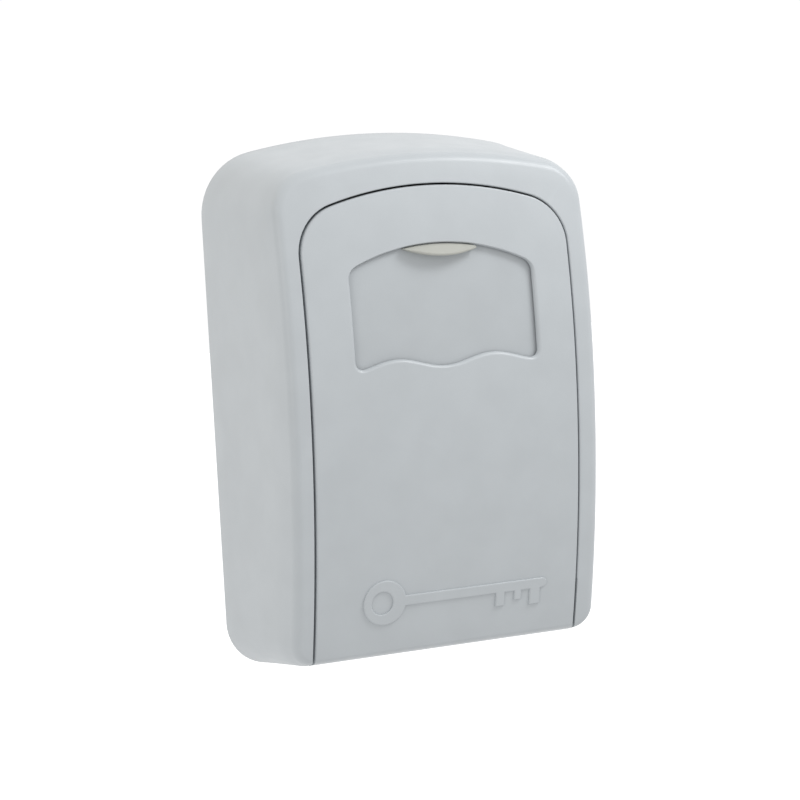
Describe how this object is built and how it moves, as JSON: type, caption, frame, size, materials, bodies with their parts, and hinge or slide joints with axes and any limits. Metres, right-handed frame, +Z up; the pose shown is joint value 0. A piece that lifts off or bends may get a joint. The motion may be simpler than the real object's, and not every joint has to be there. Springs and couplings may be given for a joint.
{
  "type": "key lock box",
  "caption": "Wall-mounted key lock box with a bottom-hinged door, a sliding shutter over number wheels, a sprung latch with a thumb lever, and a key cavity.",
  "frame": {"origin": "on the flat back face, which lies on the wall, on its centre line and 59 mm below its top", "axes": "+X to the right as seen from the front, +Y into the wall, +Z up"},
  "size_m": [0.083, 0.034, 0.1165],
  "materials": {
    "powder_coat": "satin pale grey powder coat on die-cast zinc",
    "tab_plastic": "satin cream plastic",
    "black_plastic": "fine-textured black plastic",
    "grey_plastic": "dark grey moulded plastic",
    "zinc_plate": "zinc-plated pressed steel",
    "steel": "plain turned steel"
  },
  "bodies": {
    "housing": {"body_shell": "powder_coat", "hinge_pin": "steel"},
    "door": {"door_shell": "powder_coat", "dial_bezel": "black_plastic", "dial_frame": "grey_plastic", "dial_spindle": "steel", "detent_spring": "steel", "inner_cover": "black_plastic", "latch_spring_left": "steel", "latch_spring_right": "steel", "cover_screw_1": "steel", "cover_screw_2": "steel", "cover_screw_3": "steel", "cover_screw_4": "steel"},
    "shutter": {"shutter": "powder_coat", "shutter_tab": "tab_plastic"},
    "dial_1": {"dial_1": "black_plastic", "gate_hub_1": "zinc_plate"},
    "dial_2": {"dial_2": "black_plastic", "gate_hub_2": "zinc_plate"},
    "dial_3": {"dial_3": "black_plastic", "gate_hub_3": "zinc_plate"},
    "dial_4": {"dial_4": "black_plastic", "gate_hub_4": "zinc_plate"},
    "latch": {"latch_slide": "zinc_plate", "release_lever": "black_plastic"},
    "reset": {"reset_lever": "grey_plastic"}
  },
  "joints": [
    {"name": "door_hinge", "type": "hinge", "parent": "housing", "child": "door", "pos_m": [0, -0.0185, -0.0495], "axis": [1, 0, 0], "range_deg": [0, 100]},
    {"name": "shutter_track", "type": "hinge", "parent": "door", "child": "shutter", "pos_m": [0, 0.169, 0.006], "axis": [1, 0, 0], "range_deg": [0, 6.2]},
    {"name": "dial_1_turn", "type": "hinge", "parent": "door", "child": "dial_1", "pos_m": [-0.008, -0.0222, 0.022], "axis": [1, 0, 0], "continuous": true},
    {"name": "dial_2_turn", "type": "hinge", "parent": "door", "child": "dial_2", "pos_m": [0.0002, -0.0222, 0.022], "axis": [1, 0, 0], "continuous": true},
    {"name": "dial_3_turn", "type": "hinge", "parent": "door", "child": "dial_3", "pos_m": [0.0084, -0.0222, 0.022], "axis": [1, 0, 0], "continuous": true},
    {"name": "dial_4_turn", "type": "hinge", "parent": "door", "child": "dial_4", "pos_m": [0.0166, -0.0222, 0.022], "axis": [1, 0, 0], "continuous": true},
    {"name": "latch_draw", "type": "slide", "parent": "door", "child": "latch", "axis": [0, 0, -1], "range_m": [0, 0.005], "stiffness_N_per_m": 300, "springref_m": -0.004, "deforming": ["latch_spring_left", "latch_spring_right"]},
    {"name": "reset_slide", "type": "slide", "parent": "door", "child": "reset", "axis": [1, 0, 0], "range_m": [0, 0.006]}
  ]
}
